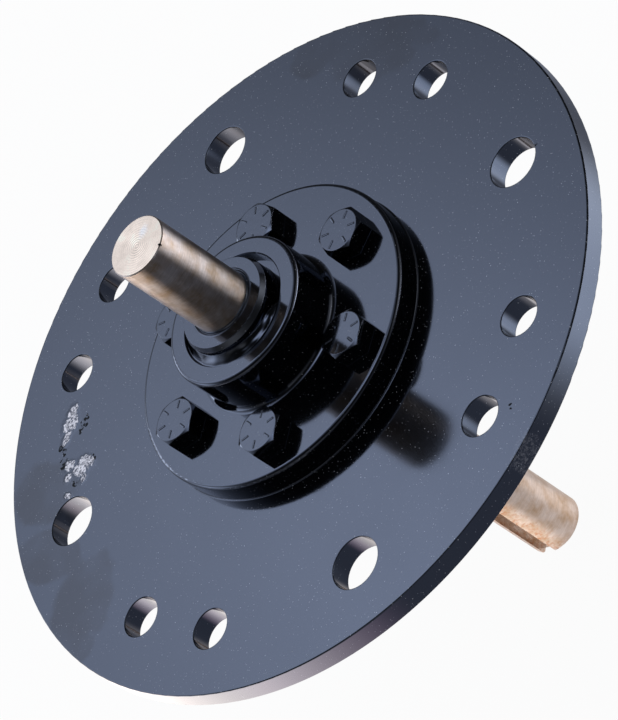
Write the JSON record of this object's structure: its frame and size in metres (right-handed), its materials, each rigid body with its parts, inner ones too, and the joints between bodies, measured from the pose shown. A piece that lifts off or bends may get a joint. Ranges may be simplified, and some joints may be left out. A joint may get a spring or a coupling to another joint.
{
  "type": "coulter disc with bearing hub",
  "caption": "Thick drilled disc bolted to a flanged bearing hub, with a keyed shaft turning through it.",
  "frame": {"origin": "centre of the disc's flat rear face, on the shaft's axis", "axes": "+Z along the shaft, out of the front, where the bolt heads, the boss and the plain shaft end are; +X halves one pair of small holes"},
  "size_m": [0.3048, 0.3048, 0.266],
  "materials": {
    "disc_enamel": "gloss black enamel",
    "hub_enamel": "gloss black enamel over a casting",
    "bolt_enamel": "gloss black enamel over zinc plate",
    "shaft_steel": "bright drawn bar with light rust",
    "bearing_steel": "ground and hardened",
    "cage_steel": "pressed sheet",
    "spacer_steel": "cut tube, oiled",
    "seal_steel": "pressed sheet, painted over with the hub",
    "seal_rubber": "moulded nitrile rubber",
    "black_screw": "black oxide"
  },
  "bodies": {
    "disc_and_hub": {"drilled_disc": "disc_enamel", "hub_casting": "hub_enamel", "hub_bolts": "bolt_enamel", "hub_lock_washers": "bolt_enamel", "hub_nuts": "bolt_enamel", "front_seal_case": "seal_steel", "front_seal_lip": "seal_rubber", "front_seal_spring": "cage_steel", "front_bearing_cup": "bearing_steel", "rear_seal_case": "seal_steel", "rear_seal_lip": "seal_rubber", "rear_seal_spring": "cage_steel", "rear_bearing_cup": "bearing_steel"},
    "shaft": {"drive_shaft": "shaft_steel", "front_collar": "hub_enamel", "rear_collar": "hub_enamel", "rear_collar_screws": "black_screw", "front_seal_sleeve": "spacer_steel", "front_bearing_cone": "bearing_steel", "bearing_spacer": "spacer_steel", "rear_bearing_cone": "bearing_steel", "rear_seal_sleeve": "spacer_steel"},
    "front_roller_set": {"front_bearing_rollers": "bearing_steel", "front_bearing_cage": "cage_steel"},
    "rear_roller_set": {"rear_bearing_rollers": "bearing_steel", "rear_bearing_cage": "cage_steel"}
  },
  "joints": [
    {"name": "shaft_spin", "type": "hinge", "parent": "disc_and_hub", "child": "shaft", "pos_m": [0, 0, 0], "axis": [0, 0, 1], "continuous": true},
    {"name": "front_rollers_spin", "type": "hinge", "parent": "disc_and_hub", "child": "front_roller_set", "pos_m": [0, 0, 0], "axis": [0, 0, 1], "continuous": true},
    {"name": "rear_rollers_spin", "type": "hinge", "parent": "disc_and_hub", "child": "rear_roller_set", "pos_m": [0, 0, 0], "axis": [0, 0, 1], "continuous": true}
  ],
  "couplings": [
    {"joint": "front_rollers_spin", "follows": "shaft_spin", "ratio": 0.4271},
    {"joint": "rear_rollers_spin", "follows": "shaft_spin", "ratio": 0.4271}
  ]
}
